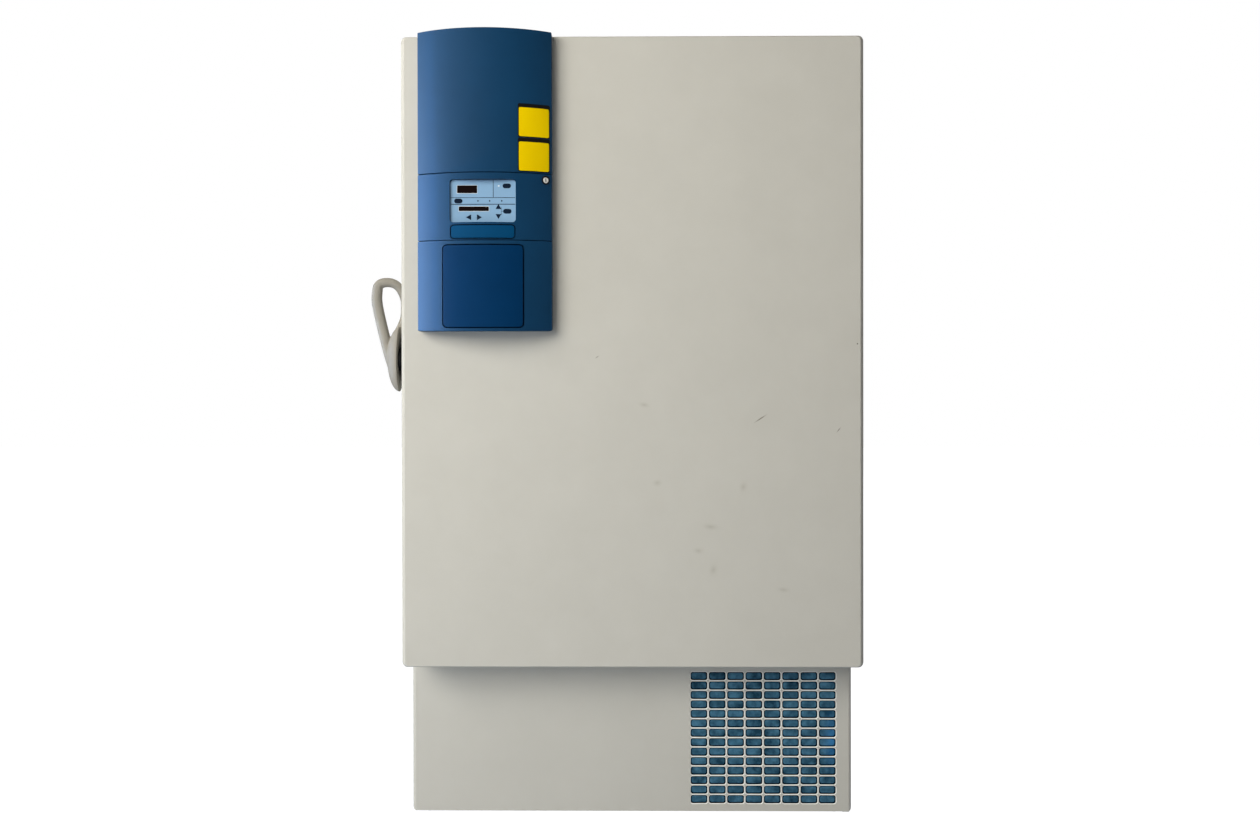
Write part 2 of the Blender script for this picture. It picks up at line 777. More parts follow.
@dataclass
class Machine:
    """The compressors and the condenser behind the lower door."""

    dome: float = 0.058
    heel: float = 0.018
    can_lift: float = 0.002
    can_inset: float = 0.010
    weld_share: float = 0.42
    seam: float = 0.004
    seam_reach: float = 0.0025
    seam_edge: float = 0.0015
    plate: float = 0.008
    foot_edge: float = 0.003
    cover_edge: float = 0.006
    cover_low: tuple[float, float, float] = (-0.030, -0.006, 0.015)
    cover_high: tuple[float, float, float] = (0.030, 0.030, 0.075)
    fin: float = 0.0005
    fin_edge: float = 0.0001
    fin_pitch: float = 0.0036
    end: float = 0.010
    end_plate: float = 0.002
    end_edge: float = 0.0005
    tubes: int = 5
    tube: float = 0.0055
    tube_edge: float = 0.001

    def build(self) -> None:
        """Make the two welded cans and the finned coil."""
        for stage in ("high", "low"):
            self._compressor(f"compressor_{stage}_stage")
        self._condenser()

    def _compressor(self, node: str) -> None:
        """Make a domed can with a weld seam, on its foot plate.

        Args:
            node: The CAD node that it stands for.
        """
        low, high = corners(node)
        x, y, _ = (low + high) / 2
        radius = (high.x - low.x) / 2 - self.can_inset
        bottom = low.z + self.can_lift
        can = drum("can", (x, y, bottom), (x, y, high.z), radius, 72)
        round_edges(can, lambda at, way: at.z > high.z - NEAR, self.dome, 10)
        round_edges(can, lambda at, way: at.z < bottom + NEAR, self.heel, 10)
        weld = low.z + (high.z - low.z) * self.weld_share
        seam = drum("seam", (x, y, weld - self.seam), (x, y, weld), radius + self.seam_reach, 72)
        foot = block("foot", low, (high.x, high.y, low.z + self.plate))
        wall = Vector((x, y - radius, weld))
        cover = block("terminals", wall + Vector(self.cover_low), wall + Vector(self.cover_high))
        soften(seam, self.seam_edge)
        soften(foot, self.foot_edge)
        soften(cover, self.cover_edge, 4)
        whole = merge(f"{node}_can", [can, seam, foot, cover])
        deliver(whole, ENAMEL, "cabinet", "black_machine_paint", node)

    def _condenser(self) -> None:
        """Make two end plates, the tubes between them and the fins on the tubes."""
        low, high = corners("condenser_coil")
        first = low.x + self.end / 2
        fin = block(
            "fin",
            (first, low.y + self.end, low.z + self.end),
            (first + self.fin, high.y - self.end, high.z - self.end),
        )
        count = int((high.x - low.x - self.end) / self.fin_pitch)
        pieces = [repeat(soften(fin, self.fin_edge, 1), count, (self.fin_pitch, 0, 0))]
        for left in (low.x, high.x - self.end_plate):
            plate = block("end", (left, low.y, low.z), (left + self.end_plate, high.y, high.z))
            pieces.append(soften(plate, self.end_edge, 2))
        middle = (low.y + high.y) / 2
        for row in range(self.tubes):
            height = low.z + (high.z - low.z) * (row + 0.5) / self.tubes
            tube = drum("tube", (low.x, middle, height), (high.x, middle, height), self.tube, 24)
            pieces.append(soften(tube, self.tube_edge, 2))
        coil = merge("finned_coil", pieces)
        deliver(coil, FIN_STOCK, "cabinet", "aluminium_fins", "condenser_coil")


@dataclass
class DoorShell:
    """The door's folded and welded outer pan."""

    side_radius: float = 0.0098
    edge_ratio: float = 0.4
    corner_radius: float = 0.013
    profile: float = 0.3
    sheet: float = 0.0015

    def build(self) -> None:
        """Round a box as the pan is rounded, open its back and give it its wall."""
        low, high = corners("door_skin")
        shell = plaque("door_shell", low, high, self.corner_radius, 8)
        open_faces(shell, facing(1, 1))
        # The upright edges of the front are rounded more than its top and bottom.
        weights = shell.data.attributes.new("bevel_weight_edge", "FLOAT", "EDGE")
        for edge in shell.data.edges:
            start, end = (shell.data.vertices[index].co for index in edge.vertices)
            if max(start.y, end.y) > low.y + NEAR / 100:
                continue
            upright = abs(end.z - start.z) / (end - start).length
            weights.data[edge.index].value = self.edge_ratio + (1 - self.edge_ratio) * upright
        bend = {"width": self.side_radius, "segments": 6, "profile": self.profile}
        modify(shell, "BEVEL", limit_method="WEIGHT", **bend)
        deliver(give_wall(shell, self.sheet), DOOR_PAINT, "door", "cream_paint", "door_skin")


@dataclass
class Keypad:
    """The overlay film, with what is printed on it in millimetres off its middle.

    A patch gives its x, z, width, height, corner and lift, and an arrow its x, z and turn.
    """

    corner: float = 0.008
    edge: float = 0.0004
    print_edge: float = 0.00004
    sunk_mm: float = 0.1
    arrow: float = 0.0080
    arrow_edge: float = 0.0007
    arrow_depth: float = 0.0004
    legend: Rows = (
        (-37.7, 28.0, 49.4, 20.0, 1.4, 0.12),
        (-21.9, -18.4, 73.2, 12.2, 1.4, 0.12),
        (37.6, 35.9, 4.2, 3.0, 0.8, 0.25),
    )
    windows: Rows = (
        (-37.7, 28.0, 47.8, 18.4, 1.0, 0.22),
        (-21.9, -18.4, 71.8, 10.7, 1.0, 0.22),
    )
    keys: Rows = (
        (56.8, 35.9, 20.0, 11.2, 5.5, 0.3),
        (-58.7, 0.2, 20.0, 11.2, 5.5, 0.3),
        (58.0, -24.5, 20.0, 11.2, 5.5, 0.3),
        (-11.9, 0.4, 3.6, 3.6, 1.7, 0.25),
        (15.9, 0.4, 3.6, 3.6, 1.7, 0.25),
        (44.7, 0.4, 3.6, 3.6, 1.7, 0.25),
    )
    arrows: Rows = (
        (36.8, -15.0, 0.0),
        (36.8, -35.0, math.pi),
        (-32.3, -38.5, math.pi / 2),
        (-10.5, -38.5, -math.pi / 2),
    )
    rules: Rows = (
        (0.0, 8.1, 153.0, 1.3, 0.4, 0.15),
        (0.0, -7.6, 153.0, 1.7, 0.5, 0.15),
        (24.5, 29.0, 1.3, 41.0, 0.4, 0.15),
        (43.6, -20.0, 0.7, 11.0, 0.2, 0.15),
        (43.6, -29.5, 0.7, 8.0, 0.2, 0.15),
        (46.5, -24.7, 6.0, 0.7, 0.2, 0.15),
    )

    def build(self) -> None:
        """Make the film, its display windows, keys, rules and lamps."""
        low, high = corners("control_keypad")
        film = soften(plaque("keypad_film", low, high, self.corner), self.edge, 2)
        deliver(film, OVERLAY, "door", "keypad_film", "control_keypad")
        legend, windows, keys, rules = (
            [self._patch(*row) for row in rows]
            for rows in (self.legend, self.windows, self.keys, self.rules)
        )
        keys += [self._arrow(*row) for row in self.arrows] + rules
        deliver(merge("keypad_legend", legend), LEGEND, "door", "white_plastic")
        deliver(merge("display_windows", windows), SMOKED, "door", "black_plastic")
        deliver(merge("keypad_keys", keys), INK, "door", "black_plastic")

    def _at(self, x: float, z: float, lift: float) -> Vector:
        """Find a point on the film.

        Args:
            x: Its millimetres off the film's middle across.
            z: Its millimetres off the middle upward.
            lift: Its millimetres off the face.

        Returns:
            The point.
        """
        low, high = corners("control_keypad")
        middle = (low + high) / 2
        return Vector((middle.x + x * MM, low.y - lift * MM, middle.z + z * MM))

    def _patch(
        self, x: float, z: float, width: float, height: float, corner: float, lift: float
    ) -> Object:
        """Make a thin printed patch with rounded corners, all in millimetres.

        Args:
            x: Its middle across.
            z: Its middle upward.
            width: Its width.
            height: Its height.
            corner: Its corner radius.
            lift: How far it stands off the film.

        Returns:
            The patch.
        """
        half = Vector((width * MM / 2, 0, height * MM / 2))
        low, high = self._at(x, z, lift) - half, self._at(x, z, -self.sunk_mm) + half
        return soften(plaque("patch", low, high, corner * MM, 5), self.print_edge, 1)

    def _arrow(self, x: float, z: float, turn: float) -> Object:
        """Make a printed arrow head.

        Args:
            x: Its middle across, in millimetres.
            z: Its middle upward, in millimetres.
            turn: How far it is turned from pointing up, as seen from the front.

        Returns:
            The arrow.
        """
        bpy.ops.object.select_all(action="DESELECT")
        bpy.ops.mesh.primitive_cylinder_add(vertices=3, radius=self.arrow, depth=self.arrow_depth)
        made = bpy.context.object
        # The first corner of the triangle lies along +Y, which the tilt turns up to +Z.
        tilt = Matrix.Rotation(-turn, 4, "Y") @ Matrix.Rotation(math.pi / 2, 4, "X")
        made.matrix_world = Matrix.Translation(self._at(x, z, 0.0)) @ tilt
        return round_edges(settle(made), along(1), self.arrow_edge, 3)


@dataclass
class Fascia:
    """The curved blue fascia on the door, with its controls and recorder bay."""

    side_depth: float = 0.030
    steps: int = 720
    edge: float = 0.0012
    lower_edge: float = 0.0036
    cutter_reach: float = 0.05
    collar: float = 0.0028
    groove_corner: float = 0.0095
    groove_depth: float = 0.0034
    seam_drop: float = 0.0017
    seam_depth: float = 0.0016
    plate_corner: float = 0.0070
    plate_depth: float = 0.0015
    plate_edge: float = 0.0004
    window_gap: float = 0.0003
    window_corner: float = 0.008
    key_lean: float = 0.504
    key_offset: float = 0.148
    key_radius: float = 0.0068
    key_hole: float = 0.0073
    hole_ends: tuple[float, float] = (-0.03, 0.02)
    key_ends: tuple[float, float] = (-0.022, 0.0015)
    key_edge: float = 0.0008
    key_slot: tuple[float, float, float] = (0.0013, 0.003, 0.0040)
    slot_rise: float = 0.004
    keyway_front: float = 0.0006
    keyway_lift: float = 0.0001
    keyway_edge: float = 0.0003
    ring_radius: float = 0.0108
    ring_bore: float = 0.0071
    ring_ends: tuple[float, float] = (-0.001, 0.0012)
    ring_edge: float = 0.0004
    cover_height: float = 0.1976
    cover_corner: float = 0.0095
    cover_proud: float = 0.002
    cover_depth: float = 0.005
    cover_edge: float = 0.0011
    bay_corner: float = 0.012
    bay_back: float = 0.022
    sticker: tuple[float, float] = (0.0742, 0.0805)
    sticker_margin: float = 0.0035
    sticker_lows: tuple[float, float] = (0.002, 0.0835)
    sticker_corner: float = 0.0045
    sticker_lift: float = 0.00025
    field_margin: float = 0.0024
    field_top: float = 0.0712
    field_corner: float = 0.0035
    film: float = 0.0004
    left: float = field(init=False)
    right: float = field(init=False)
    front: float = field(init=False)
    base: float = field(init=False)

    def __post_init__(self) -> None:
        """Read the fascia's place from the CAD model."""
        (self.left, self.front, _), (self.right, self.base, _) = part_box("upper_fascia")

    @property
    def middle(self) -> float:
        """The fascia's middle in X."""
        return (self.left + self.right) / 2

    @property
    def radius(self) -> float:
        """The radius of the curved face."""
        half, bulge = (self.right - self.left) / 2, self.base - self.front - self.side_depth
        return (half**2 + bulge**2) / (2 * bulge)

    def face(self, x: float) -> float:
        """The curved face's place in Y at an X."""
        return self.front + self.radius - math.sqrt(self.radius**2 - (x - self.middle) ** 2)

    def cylinder(self, grow: float, low: float, high: float) -> Object:
        """The whole cylinder that the face is part of, grown by a distance."""
        x, y = self.middle, self.front + self.radius
        return drum("arc", (x, y, low), (x, y, high), self.radius + grow, self.steps)

    def shell(self, name: str, node: str) -> Object:
        """Slice the curved front off the cylinder and draw its sides back to the door.

        Args:
            name: The piece's name.
            node: The CAD node that gives its bottom and top.

        Returns:
            The closed piece.
        """
        low, high = corners(node)
        made = self.cylinder(0.0, low.z, high.z)
        made.name = name
        slice_off(made, (0, self.base - self.side_depth, 0), Y)
        with editing(made, "FACE", facing(1, 1)):
            back = {"value": (0, self.side_depth, 0)}
            bpy.ops.mesh.extrude_region_move(TRANSFORM_OT_translate=back)
        return made

    def slab(self, name: str, box: Place, corner: float, grow: float, thick: float) -> Object:
        """Make a curved plate with rounded corners that follows the face.

        Args:
            name: The piece's name.
            box: Left, right, bottom and top.
            corner: The corner radius.
            grow: How far its outside stands off the face.
            thick: Its thickness.

        Returns:
            The plate.
        """
        left, right, low, high = box
        past = self.cutter_reach
        made = plaque(name, (left, self.front - past, low), (right, self.base, high), corner)
        carve(made, self.cylinder(grow, low - past, high + past), "INTERSECT")
        return carve(made, self.cylinder(grow - thick, low - past, high + past))

    def build(self) -> None:
        """Make the three fascia pieces and all that they carry."""
        upper = soften(self.shell("fascia_top", "upper_fascia"), self.edge, 3, 50)
        deliver(upper, BLUE_ABS, "door", "blue_plastic", "upper_fascia")
        self._controls()
        Keypad().build()
        self._recorder()
        self._stickers()

    def _controls(self) -> None:
        """Make the middle piece with its keypad window, nameplate and key switch."""
        bezel = soften(self.shell("fascia_controls", "control_bezel"), self.edge, 2, 50)
        low, high = corners("control_keypad")
        gap = self.window_gap
        low -= Vector((gap, self.cutter_reach, gap))
        high += Vector((gap, gap, gap))
        carve(bezel, plaque("window", low, high, self.window_corner))
        low, high = corners("blank_nameplate")
        rim = self.collar
        groove = (low.x - rim, high.x + rim, low.z - rim, high.z + rim), self.groove_corner
        carve(bezel, self.slab("groove", *groove, PAST, PAST + self.groove_depth))
        seam = self.slab("nameplate_seam", *groove, -self.seam_drop, self.seam_depth)
        deliver(seam, SEAM, "door", "blue_plastic")
        box = (low.x, high.x, low.z, high.z)
        plate = self.slab("nameplate", box, self.plate_corner, 0.0, self.plate_depth)
        soften(plate, self.plate_edge, 2, 50)
        deliver(plate, PLATE, "door", "blue_plastic", "blank_nameplate")
        self._key(bezel)
        deliver(bezel, BLUE_ABS, "door", "blue_plastic", "control_bezel")

    def _key(self, bezel: Object) -> None:
        """Bore the bezel for the key switch and make its barrel, keyway and ring.

        Args:
            bezel: The fascia piece that carries it.
        """
        low, high = corners("key_switch")
        outward = Vector((math.sin(self.key_lean), -math.cos(self.key_lean), 0))
        x = self.middle + self.key_offset
        seat = Vector((x, self.face(x), (low.z + high.z) / 2))
        lean = Matrix.Rotation(self.key_lean, 4, "Z")

        def bar(name: str, start: float, end: float, radius: float) -> Object:
            """A round bar along the switch's axis."""
            return drum(name, seat + outward * start, seat + outward * end, radius)

        carve(bezel, bar("hole", *self.hole_ends, self.key_hole))
        barrel = soften(bar("key_barrel", *self.key_ends, self.key_radius), self.key_edge, 3)
        width, depth, height = self.key_slot
        slot = block("slot", (-width, -self.slot_rise, -height), (width, depth, height))
        slot.matrix_world = Matrix.Translation(seat + outward * self.key_ends[1]) @ lean
        carve(barrel, settle(slot))
        deliver(barrel, WHITE_ABS, "key_switch", "white_plastic", "key_switch")
        keyway = block("keyway", (-width, -self.keyway_front, -height), (width, depth, height))
        soften(keyway, self.keyway_edge, 2)
        keyway.matrix_world = Matrix.Translation(seat + outward * self.keyway_lift) @ lean
        deliver(keyway, INK, "key_switch", "black_plastic")
        ring = bar("key_ring", *self.ring_ends, self.ring_radius)
        carve(ring, bar("bore", *self.hole_ends, self.ring_bore))
        deliver(soften(ring, self.ring_edge, 2), BLACK_NYLON, "door", "black_plastic")

    def _recorder(self) -> None:
        """Make the lowest fascia piece with its bay, and the cover over it."""
        bezel = self.shell("fascia_recorder", "recorder_bezel")
        bottom, back = corners("recorder_bezel")[0].z + NEAR / 10, self.base - NEAR
        round_edges(bezel, lambda at, way: at.z < bottom and at.y < back, self.lower_edge, 2)
        soften(bezel, self.edge, 3, 70)
        low, high = corners("recorder_cover")
        low.z, high.z = high.z - self.cover_height, low.z + self.cover_height
        gap = self.collar
        bay = plaque(
            "bay",
            (low.x - gap, self.front - self.cutter_reach, low.z - gap),
            (high.x + gap, self.base - self.bay_back, high.z + gap),
            self.bay_corner,
        )
        carve(bezel, bay)
        deliver(bezel, BLUE_ABS, "door", "blue_plastic", "recorder_bezel")
        box = (low.x, high.x, low.z, high.z)
        shape = self.cover_corner, self.cover_proud, self.cover_depth
        cover = soften(self.slab("bay_cover", box, *shape), self.cover_edge, 3, 50)
        deliver(cover, DEEP_ABS, "recorder_cover", "dark_blue_plastic", "recorder_cover")

    def _stickers(self) -> None:
        """Make two blank stickers with black borders, low on the right of the upper piece."""
        right = self.right - self.sticker_margin
        left = right - self.sticker[0]
        margin = self.field_margin
        for number, rise in enumerate(self.sticker_lows):
            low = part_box("upper_fascia")[0][2] + rise
            box = (left, right, low, low + self.sticker[1])
            shape = self.sticker_corner, self.sticker_lift, self.film
            edge = self.slab(f"sticker_edge_{number}", box, *shape)
            deliver(edge, STICKER_EDGE, "door", "black_plastic")
            box = (left + margin, right - margin, low + margin, low + self.field_top)
            shape = self.field_corner, self.film, self.film
            inner = self.slab(f"sticker_field_{number}", box, *shape)
            deliver(inner, STICKER, "door", "keypad_film")


@dataclass
class LatchHandle:
    """The cast loop handle on the door's left side and the black boss under it."""

    bar: float = 0.0135
    height: float = 1.190
    hub: tuple[float, float, float] = (0.031, 0.045, 0.082)
    gap: float = 0.0003
    voxel: float = 0.0014
    blend: int = 10
    bore: float = 0.0075
    bore_depth: float = 0.017
    trim: tuple[float, float, float] = (0.08, -0.1, 0.052)
    boss_edge: float = 0.0015
    boss_rings: Pairs = ((0.006, 0.0), (0.004, -0.003))
    pin: float = 0.007
    pin_root: float = 0.006
    pin_edge: float = 0.0008
    # Each point of the bar gives its reach from the door, rise, place backward and thickness.
    path: tuple[tuple[float, float, float, float], ...] = (
        (0.0340, -0.0300, 0.0, 1.0),
        (0.0450, 0.0000, 0.0, 1.0),
        (0.0635, 0.0735, 0.0, 1.0),
        (0.0785, 0.1400, 0.0, 1.0),
        (0.0785, 0.1640, 0.0, 1.0),
        (0.0740, 0.1940, 0.0, 0.92),
        (0.0310, 0.1940, 0.006, 0.84),
        (0.0115, 0.1580, 0.015, 0.74),
        (0.0112, 0.1250, 0.015, 0.70),
        (0.0130, 0.0920, 0.012, 0.72),
        (0.0360, 0.0480, 0.004, 0.84),
    )

    def build(self) -> None:
        """Make the handle, and the boss and pin that it turns on."""
        side = corners("door_skin")[0].x
        low, high = corners("handle_mount")
        middle = (low.y + high.y) / 2
        cam_low, cam_high = corners("latch_cam")
        self._handle(side, middle, cam_low.x - self.gap)
        end = cam_high.x + self.gap
        start = (side - self.gap, middle, self.height)
        boss = drum("handle_boss", start, (end, middle, self.height), 1.0, 96)
        with editing(boss, "VERT"):
            size = (1.0, (high.y - low.y) / 2, (high.z - low.z) / 2)
            bpy.ops.transform.resize(value=size, center_override=(0.0, middle, self.height))
        inset_faces(boss, facing(0, -1), *self.boss_rings)
        root, tip = (end + self.pin_root, middle, self.height), (low.x, middle, self.height)
        pin = soften(drum("pin", root, tip, self.pin), self.pin_edge, 2)
        whole = merge("handle_boss", [soften(boss, self.boss_edge, 3), pin])
        deliver(whole, BLACK_NYLON, "door", "black_plastic", "handle_mount")

    def _handle(self, side: float, middle: float, face: float) -> None:
        """Bend the loop, join it to its hub, and blend the two as a casting is.

        Args:
            side: The door's left side in X.
            middle: The handle's middle in Y.
            face: The hub's flat face in X.
        """
        bpy.ops.object.select_all(action="DESELECT")
        bpy.ops.curve.primitive_nurbs_path_add(location=(0, 0, 0))
        loop = bpy.context.object
        spline = loop.data.splines[0]
        spline.points.add(len(self.path) - len(spline.points))
        for point, (reach, rise, back, share) in zip(spline.points, self.path):
            point.co = (side - reach, middle + back, self.height + rise, 1.0)
            point.radius = share
        spline.order_u = 3
        spline.use_endpoint_u = True
        spline.resolution_u = 10
        loop.data.bevel_depth = self.bar
        loop.data.bevel_resolution = 8
        loop.data.use_fill_caps = True
        bpy.ops.object.convert(target="MESH")
        bpy.ops.object.select_all(action="DESELECT")
        bpy.ops.mesh.primitive_uv_sphere_add(segments=64, ring_count=32, radius=1.0)
        hub = bpy.context.object
        hub.scale = self.hub
        hub.location = (face, middle, self.height)
        slice_off(settle(hub), (face, 0, 0), X)
        handle = merge("loop_handle", [loop, hub])
        handle.data.remesh_voxel_size = self.voxel
        bpy.ops.object.voxel_remesh()
        modify(handle, "SMOOTH", factor=0.5, iterations=self.blend)
        half, below, above = self.trim
        trim_low = (face, middle - half, self.height + below)
        carve(handle, block("trim", trim_low, (side, middle + half, self.height + above)))
        ends = (face + PAST, middle, self.height), (face - self.bore_depth, middle, self.height)
        carve(handle, drum("bore", *ends, self.bore))
        deliver(handle, CASTING, "handle", "cast_handle", "door_handle")


@dataclass
class GrilleDoor:
    """The slotted lower door."""

    bottom: float = 0.024
    top: float = 0.402
    columns: int = 8
    rows: int = 14
    pitch: tuple[float, float] = (0.0471, 0.0244)
    slot: tuple[float, float] = (0.0430, 0.0211)
    corner: float = 0.0055
    side_margin: float = 0.0408
    bottom_margin: float = 0.02015
    sheet: float = 0.0018
    edge: float = 0.0012
    pin: float = 0.003
    pin_root: float = 0.004
    pin_edge: float = 0.0005
    foot_corner: float = 0.011
    rim: float = 0.0016
    rim_angle: float = 1.0
    pillow_gap: float = 0.0024
    pillow_round: float = 0.0026
    pillow_front: float = -0.0011
    pillow_back: float = 0.0040
    pad_inset: float = 0.0015
    pad_corner: float = 0.004
    pad_edge: float = 0.001

    def build(self) -> None:
        """Round a panel's ends, hollow it from behind, punch its slots and hang it on pins."""
        low, high = corners("grille_panel")
        bottom, top, wall = self.bottom, self.top, self.sheet
        depth = high.y - low.y
        panel = block("slotted_panel", (low.x, low.y, bottom), (high.x, high.y, top))
        round_edges(panel, along(2), depth / 2 - NEAR / 10, 10)
        soften(panel, self.edge, 3, 60)
        # The panel's lower corners are rounded off, as seen from the front.
        outline_low = (low.x, low.y - PAST * 5, bottom)
        outline_high = (high.x, high.y + PAST * 5, top + PAST * 5)
        outline = plaque("outline", outline_low, outline_high, self.foot_corner, 8)
        carve(panel, outline, "INTERSECT")
        inside_low = (low.x + depth, low.y + wall, bottom + wall * 2)
        inside_high = (high.x - depth, high.y + PAST, top - wall * 2)
        carve(panel, block("inside", inside_low, inside_high))
        left = high.x - self.side_margin - (self.columns - 1) * self.pitch[0] - self.slot[0]
        first = Vector((left, low.y, bottom + self.bottom_margin))
        carve(panel, self._slots("punch", first, -PAST, PAST, 0.0, 5))
        self._roll_rims(panel, low.y)
        x, y = high.x - depth / 2, low.y + depth / 2
        root = self.pin_root
        pins = [
            soften(drum("pin", (x, y, start), (x, y, end), self.pin, 24), self.pin_edge, 2)
            for start, end in ((low.z, bottom + root), (top - root, high.z))
        ]
        whole = merge("slotted_panel", [panel, *pins])
        deliver(whole, PAINT, "grille_door", "cream_paint", "grille_panel", dressed=True)
        low, high = corners("air_filter")
        face = (low.x, low.y + self.pad_inset, low.z)
        pad = soften(plaque("filter_pad", face, high, self.pad_corner), self.pad_edge)
        deliver(pad, DEEP_FOAM, "grille_door", "blue_filter_foam")
        first.y = low.y
        span = (self.pillow_front, self.pillow_back)
        pillows = self._slots("pillow", first, *span, self.pillow_gap, 6, self.pillow_round)
        deliver(pillows, FILTER_FOAM, "grille_door", "blue_filter_foam", "air_filter")

    def _roll_rims(self, panel: Object, front: float) -> None:
        """Roll the slots' front edges, and dress the panel and its bright rims.

        Args:
            panel: The punched panel.
            front: The place of its face in Y.
        """
        for finish in (PAINT, RIM):
            panel.data.materials.append(finish.material())
        # Nothing is picked at first, because a rim is known by the angle between its faces.
        with editing(panel, "EDGE", lambda *_: False) as shape:
            for edge in shape.edges:
                flush = all(abs(vertex.co.y - front) < NEAR / 20 for vertex in edge.verts)
                edge.select_set(flush and edge.calc_face_angle(0.0) > self.rim_angle)
            bmesh.update_edit_mesh(panel.data)
            bpy.ops.mesh.bevel(offset=self.rim, segments=3, affect="EDGES", material=1)

    def _slots(
        self,
        name: str,
        first: Vector,
        front: float,
        back: float,
        gap: float,
        steps: int,
        swell: float = 0.0,
    ) -> Object:
        """Make a plug for the first slot and repeat it over the columns and rows.

        Args:
            name: The object's name.
            first: The first slot's lowest corner.
            front: Where the plug begins, from that corner in Y.
            back: Where it ends.
            gap: How much it is smaller than the slot all round.
            steps: How many facets draw its corners.
            swell: The rounding of its face, where it has one.

        Returns:
            The plugs.
        """
        low = first + Vector((gap, front, gap))
        high = first + Vector((self.slot[0] - gap, back, self.slot[1] - gap))
        made = plaque(name, low, high, self.corner, steps)
        if swell:
            soften(made, swell, 5, 50)
        repeat(made, self.columns, (self.pitch[0], 0, 0))
        return repeat(made, self.rows, (0, 0, self.pitch[1]))


@dataclass
class Fasteners:
    """Pan-head screws on the hinges, the strike and the rear covers."""

    radius: float = 0.0045
    height: float = 0.0022
    edge: float = 0.0012
    cross: tuple[float, float] = (0.0026, 0.0006)
    cross_floor: float = 0.0008
    bracket_face: float = 0.0137
    bracket_grid: Pairs = ((0.026, 0.072), (0.014, 0.044))
    strap_face: float = 0.0140
    strap_grid: Pairs = ((0.016, 0.066), (0.012, 0.046))
    strike_inset: tuple[float, float] = (0.004, 0.018)
    strike_rises: tuple[float, float] = (0.014, 0.076)
    side_inset: float = 0.012
    end_inset: float = 0.010
    row_inset: float = 0.02
    rows: tuple[tuple[str, int], ...] = (("cabinet_back", 7), ("rear_service_cover", 3))

    def build(self) -> None:
        """Model one screw and copy it to its places."""
        screw = soften(drum("screw", (0, 0, 0), (0, 0, self.height), self.radius, 24), self.edge, 3)
        length, width = self.cross
        for turn in (0.0, math.pi / 2):
            low, high = (-length, -width, self.cross_floor), (length, width, self.height * 2)
            slot = block("cross", low, high)
            slot.rotation_euler.z = turn
            carve(screw, settle(slot))
        cabinet: list[Object] = []
        door: list[Object] = []
        for name in HINGES:
            low, high = corners(f"hinge_bracket_{name}")
            for rise, back in product(*self.bracket_grid):
                place = (high.x - self.bracket_face, high.y - back, low.z + rise)
                cabinet.append(self._copy(screw, place, X))
            low, high = corners(f"hinge_knuckle_{name}")
            for rise, back in product(*self.strap_grid):
                place = (high.x - self.strap_face, low.y + back, low.z + rise)
                door.append(self._copy(screw, place, X))
        low, high = corners("latch_strike")
        x, y = high.x - self.strike_inset[0], high.y - self.strike_inset[1]
        for rise in self.strike_rises:
            cabinet.append(self._copy(screw, (x, y, low.z + rise), -X))
        for node, count in self.rows:
            low, high = corners(node)
            inset, rise = self.row_inset, high.z - low.z - self.row_inset * 2
            heights = [low.z + inset + rise * row / (count - 1) for row in range(count)]
            sides = (low.x + self.side_inset, high.x - self.side_inset)
            places = [(x, high.y, height) for height, x in product(heights, sides)]
            across = [low.x + (high.x - low.x) * column / 5 for column in range(1, 5)]
            ends = (low.z + self.end_inset, high.z - self.end_inset)
            places += [(x, high.y, height) for x, height in product(across, ends)]
            cabinet += [self._copy(screw, place, Y) for place in places]
        bpy.data.objects.remove(screw, do_unlink=True)
        deliver(merge("cabinet_screws", cabinet), ZINC_PLATE, "cabinet", "zinc_steel")
        deliver(merge("door_screws", door), ZINC_PLATE, "door", "zinc_steel")

    def _copy(self, screw: Object, place: Place, outward: Vector) -> Object:
        """Copy the screw to a place.

        Args:
            screw: The screw, on the origin and facing up.
            place: Where its seat goes.
            outward: The way that its head faces.

        Returns:
            The copy, with its own mesh.
        """
        made = screw.copy()
        made.data = screw.data.copy()
        bpy.context.scene.collection.objects.link(made)
        made.location = place
        made.rotation_euler = Z.rotation_difference(outward).to_euler()
        return settle(made)


@dataclass(frozen=True)
class SoftBox:
    """A lamp of the studio, which shows in reflections or lights matt surfaces."""

    name: str
    place: tuple[float, float, float]
    target: tuple[float, float, float]
    size: tuple[float, float]
    watts: float
    colour: str
    gleam: bool = False

    def add(self) -> Object:
        """Hang the lamp.

        Returns:
            The lamp.
        """
        data = bpy.data.lights.new(self.name, "AREA")
        data.shape = "RECTANGLE"
        data.size, data.size_y = self.size
        data.energy = self.watts
        data.color = linear(self.colour)[:3]
        lamp = bpy.data.objects.new(self.name, data)
        lamp.location = self.place
        lamp.visible_glossy = self.gleam
        lamp.visible_diffuse = not self.gleam
        way = Vector(self.target) - Vector(self.place)
        lamp.rotation_euler = way.to_track_quat("-Z", "Y").to_euler()
        bpy.context.scene.collection.objects.link(lamp)
        return lamp


